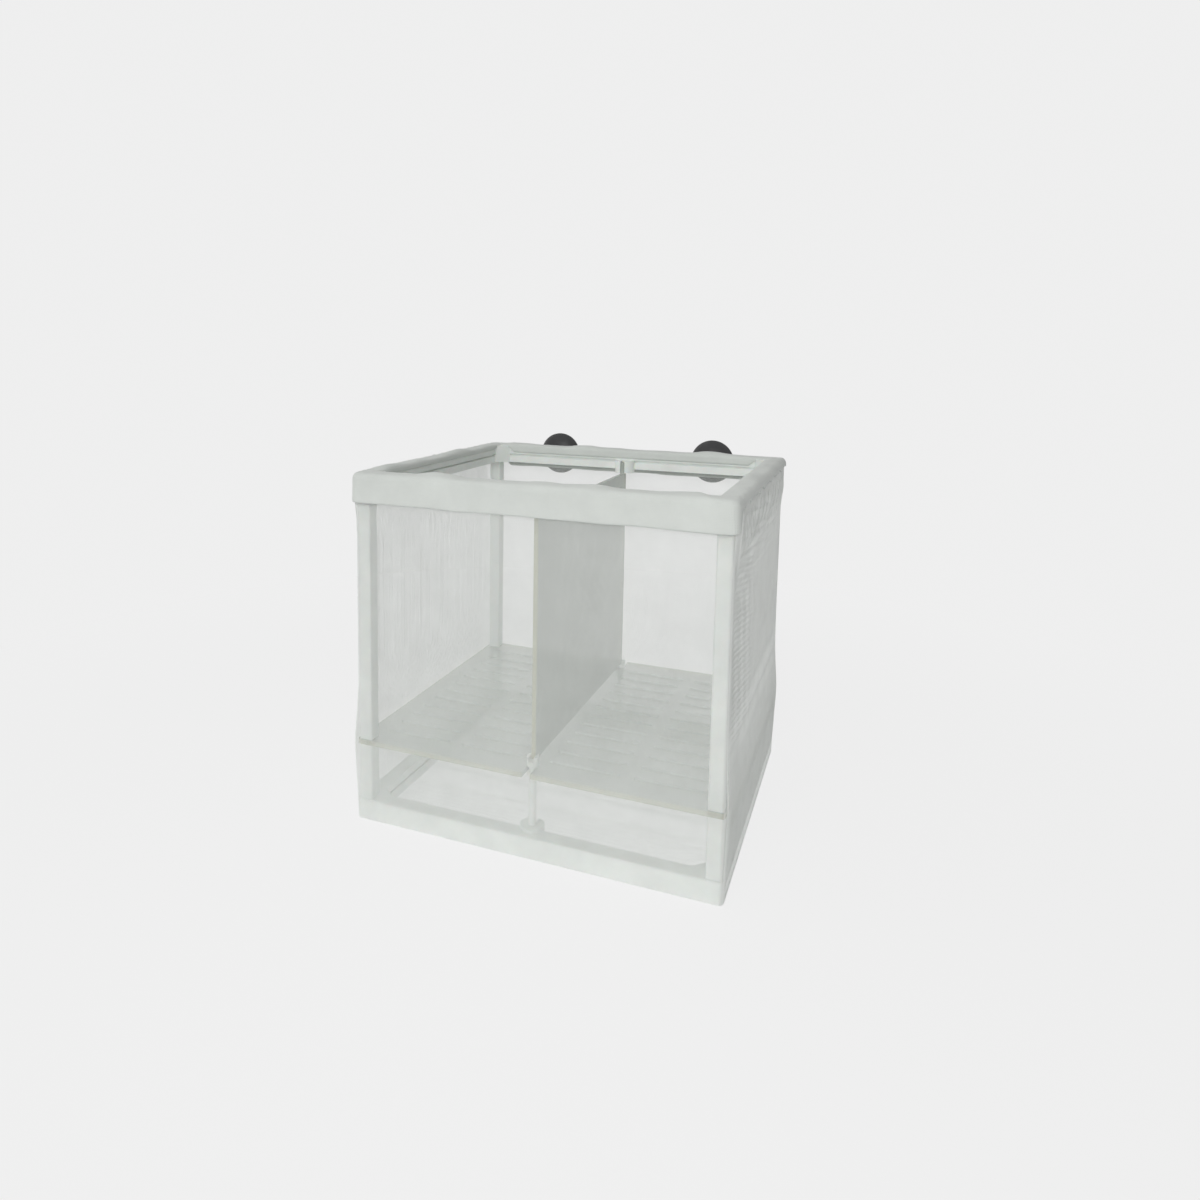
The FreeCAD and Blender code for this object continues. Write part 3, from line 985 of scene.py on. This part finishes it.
class NET_OT_plates(bpy.types.Operator):
    """Finishes the floor plate and the divider in tinted see-through sheet."""

    bl_idname = "breeding_net.plates"
    bl_label = "Floor plate and divider"

    def execute(self, context):
        settings = context.scene.net_finish
        colour = tuple(settings.plate_colour)
        edge_glow_colour = tuple(settings.edge_glow_colour)
        # Outer cut edges of both plates get the painted yellow-green edge glow
        floor_glow_rims = {"X": plate_high.x - glow_band, "Y": plate_high.y - glow_band}
        floor_finish = plate_finish("floor_sheet", colour, edge_glow_colour, "Z", floor_glow_rims, floor_alpha)
        dress(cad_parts["floor_plate"], floor_finish)
        divider_glow_rims = {"Y": divider_high.y - glow_band}
        tint = shade(colour, 0.88)
        divider_finish = plate_finish("divider_sheet", tint, edge_glow_colour, "X", divider_glow_rims, divider_alpha)
        dress(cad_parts["divider_plate"], divider_finish)
        return {"FINISHED"}


class NET_OT_cups(bpy.types.Operator):
    """Finishes the two suction cups in black rubber."""

    bl_idname = "breeding_net.cups"
    bl_label = "Suction cups"

    def execute(self, context):
        finish = rubber_finish(tuple(context.scene.net_finish.rubber_colour))
        for name in ("suction_cup_left", "suction_cup_right"):
            dress(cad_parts[name], finish)
        return {"FINISHED"}


def seen_rays(nodes, links):
    """1 for rays from the camera, and for reflected and see-through rays."""
    path = nodes.new("ShaderNodeLightPath")
    first = nodes.new("ShaderNodeMath")
    first.operation = "MAXIMUM"
    links.new(path.outputs["Is Camera Ray"], first.inputs[0])
    links.new(path.outputs["Is Glossy Ray"], first.inputs[1])
    second = nodes.new("ShaderNodeMath")
    second.operation = "MAXIMUM"
    links.new(first.outputs["Value"], second.inputs[0])
    links.new(path.outputs["Is Transmission Ray"], second.inputs[1])
    return second.outputs["Value"]


def pale_sky(settings):
    """Soft light that is strongest from the left and seen as a pale background."""
    world = bpy.data.worlds.new("pale_sky")
    bpy.context.scene.world = world
    world.use_nodes = True
    nodes = world.node_tree.nodes
    links = world.node_tree.links
    light = nodes["Background"]
    light.inputs["Color"].default_value = (1.0, 1.0, 0.99, 1.0)
    place = nodes.new("ShaderNodeTexCoord")
    toward = nodes.new("ShaderNodeVectorMath")
    toward.operation = "DOT_PRODUCT"
    toward.inputs[1].default_value = (-0.95, -0.1, 0.3)
    links.new(place.outputs["Generated"], toward.inputs[0])
    strength = nodes.new("ShaderNodeMapRange")
    strength.inputs["From Min"].default_value = -1.0
    strength.inputs["To Min"].default_value = 0.02 * settings.sky
    strength.inputs["To Max"].default_value = settings.sky
    links.new(toward.outputs["Value"], strength.inputs["Value"])
    links.new(strength.outputs["Result"], light.inputs["Strength"])
    seen = nodes.new("ShaderNodeBackground")
    seen.inputs["Color"].default_value = (settings.background,) * 3 + (1.0,)
    mix = nodes.new("ShaderNodeMixShader")
    links.new(seen_rays(nodes, links), mix.inputs[0])
    links.new(light.outputs["Background"], mix.inputs[1])
    links.new(seen.outputs["Background"], mix.inputs[2])
    links.new(mix.outputs["Shader"], nodes["World Output"].inputs["Surface"])


def pale_floor(settings):
    """A wide floor that lights the object from below, keeps its shadow and fades into the background."""
    steps = 48
    rings = [0.05, 0.1, 0.15, 0.2, 0.3, 0.5, 1.0, 3.0]
    turn = np.arange(steps) * 2 * math.pi / steps
    points = np.array([(r * math.cos(a), r * math.sin(a), -0.1 * mm) for r in rings for a in turn])
    quads = []
    for ring in range(len(rings) - 1):
        for step in range(steps):
            after = (step + 1) % steps
            row = ring * steps
            quads.append((row + step, row + steps + step, row + steps + after, row + after))
    for step in range(steps // 2 - 1):
        quads.append((step, step + 1, steps - 2 - step, steps - 1 - step))
    floor = mesh_object("pale_floor", points, np.array(quads))
    material, nodes, links, shader = new_material("pale_floor", 0.9)
    shader.inputs["Base Color"].default_value = (0.15, 0.15, 0.15, 1.0)
    shader.inputs["Specular IOR Level"].default_value = 0.0
    shader.inputs["Emission Color"].default_value = (1.0, 1.0, 1.0, 1.0)
    shadowed = nodes.new("ShaderNodeBsdfDiffuse")
    shadow_share = 0.09
    light_on_floor = 0.7
    shadowed.inputs["Color"].default_value = (shadow_share,) * 3 + (1.0,)
    glow = nodes.new("ShaderNodeEmission")
    glow_level = settings.background - shadow_share * light_on_floor
    glow.inputs["Color"].default_value = (glow_level,) * 3 + (1.0,)
    near = nodes.new("ShaderNodeAddShader")
    links.new(shadowed.outputs["BSDF"], near.inputs[0])
    links.new(glow.outputs["Emission"], near.inputs[1])
    far = nodes.new("ShaderNodeEmission")
    far.inputs["Color"].default_value = (settings.background,) * 3 + (1.0,)
    place = nodes.new("ShaderNodeTexCoord")
    distance = nodes.new("ShaderNodeVectorMath")
    distance.operation = "LENGTH"
    links.new(place.outputs["Object"], distance.inputs[0])
    fade = nodes.new("ShaderNodeMapRange")
    fade.interpolation_type = "SMOOTHSTEP"
    fade.inputs["From Min"].default_value = 0.16
    fade.inputs["From Max"].default_value = 0.42
    links.new(distance.outputs["Value"], fade.inputs["Value"])
    bounce = nodes.new("ShaderNodeMapRange")
    bounce.inputs["From Min"].default_value = 0.1
    bounce.inputs["From Max"].default_value = 0.35
    bounce.inputs["To Min"].default_value = 0.84
    bounce.inputs["To Max"].default_value = 0.44
    links.new(distance.outputs["Value"], bounce.inputs["Value"])
    links.new(bounce.outputs["Result"], shader.inputs["Emission Strength"])
    seen = nodes.new("ShaderNodeMixShader")
    links.new(fade.outputs["Result"], seen.inputs[0])
    links.new(near.outputs["Shader"], seen.inputs[1])
    links.new(far.outputs["Emission"], seen.inputs[2])
    final = nodes.new("ShaderNodeMixShader")
    links.new(seen_rays(nodes, links), final.inputs[0])
    links.new(shader.outputs["BSDF"], final.inputs[1])
    links.new(seen.outputs["Shader"], final.inputs[2])
    links.new(final.outputs["Shader"], nodes["Material Output"].inputs["Surface"])
    dress(floor, material)


def soft_lamp(name, place, target, size, power):
    """A large square lamp that looks at a point."""
    lamp = bpy.data.lights.new(name, "AREA")
    lamp.size = size
    lamp.energy = power
    holder = bpy.data.objects.new(name, lamp)
    holder.location = place
    holder.rotation_euler = (Vector(target) - Vector(place)).to_track_quat("-Z", "Y").to_euler()
    bpy.context.scene.collection.objects.link(holder)


def viewing_camera(settings):
    """A camera in front, to the right and a little above."""
    place = (0.126, -0.376, 0.202)
    yaw = math.radians(22.5)
    pitch = math.radians(6.5)
    roll = math.radians(0.6)
    reach = math.cos(pitch)
    forward = Vector((-math.sin(yaw) * reach, math.cos(yaw) * reach, -math.sin(pitch)))
    level = Vector((math.cos(yaw), math.sin(yaw), 0))
    upward = level.cross(forward)
    right = level * math.cos(roll) + upward * math.sin(roll)
    up = upward * math.cos(roll) - level * math.sin(roll)
    lens = bpy.data.cameras.new("viewing_camera")
    lens.lens = settings.lens
    lens.sensor_width = 36.0
    lens.shift_x = 0.061
    lens.shift_y = -0.123
    lens.clip_start = 0.01
    camera = bpy.data.objects.new("viewing_camera", lens)
    turn = Matrix((right, up, -forward)).transposed().to_4x4()
    camera.matrix_world = Matrix.Translation(place) @ turn
    bpy.context.scene.collection.objects.link(camera)
    bpy.context.scene.camera = camera


class NET_OT_stage(bpy.types.Operator):
    """Sets up the pale floor, the soft light and the camera."""

    bl_idname = "breeding_net.stage"
    bl_label = "Stage"

    def execute(self, context):
        settings = context.scene.net_stage
        pale_sky(settings)
        pale_floor(settings)
        lamp_place = (0.1, -0.6, 0.46)
        lamp_target = (0, 0, 0.07)
        soft_lamp("key_lamp", lamp_place, lamp_target, 0.5, settings.key)
        viewing_camera(settings)
        context.scene.view_settings.view_transform = "Standard"
        return {"FINISHED"}


class NET_PT_breeding_net(bpy.types.Panel):
    """Lists the pieces of the breeding net."""

    bl_label = "Breeding Net"
    bl_idname = "NET_PT_breeding_net"
    bl_space_type = "VIEW_3D"
    bl_region_type = "UI"
    bl_category = "Breeding Net"

    def draw(self, context):
        for operator in OPERATORS:
            self.layout.operator(operator.bl_idname)
        for group in SETTINGS:
            settings = getattr(context.scene, group)
            box = self.layout.box()
            for name in settings.bl_rna.properties.keys():
                if name not in ("rna_type", "name"):
                    box.prop(settings, name)


OPERATORS = [
    NET_OT_mesh_bag,
    NET_OT_collar,
    NET_OT_moulded_frame,
    NET_OT_plates,
    NET_OT_cups,
    NET_OT_stage,
]
SETTINGS = {
    "net_mesh": MeshBagSettings,
    "net_collar": CollarSettings,
    "net_finish": FinishSettings,
    "net_stage": StageSettings,
}


def register():
    """Adds the settings, operators and panel."""
    for name, group in SETTINGS.items():
        bpy.utils.register_class(group)
        setattr(bpy.types.Scene, name, bpy.props.PointerProperty(type=group))
    for operator in OPERATORS:
        bpy.utils.register_class(operator)
    bpy.utils.register_class(NET_PT_breeding_net)


def unregister():
    """Takes them away again."""
    bpy.utils.unregister_class(NET_PT_breeding_net)
    for operator in reversed(OPERATORS):
        bpy.utils.unregister_class(operator)
    for name, group in reversed(SETTINGS.items()):
        delattr(bpy.types.Scene, name)
        bpy.utils.unregister_class(group)


def main():
    """Makes every piece in order."""
    register()
    bpy.ops.breeding_net.moulded_frame()
    bpy.ops.breeding_net.plates()
    bpy.ops.breeding_net.cups()
    bpy.ops.breeding_net.mesh_bag()
    bpy.ops.breeding_net.collar()
    bpy.ops.breeding_net.stage()


if __name__ == "__main__":
    main()
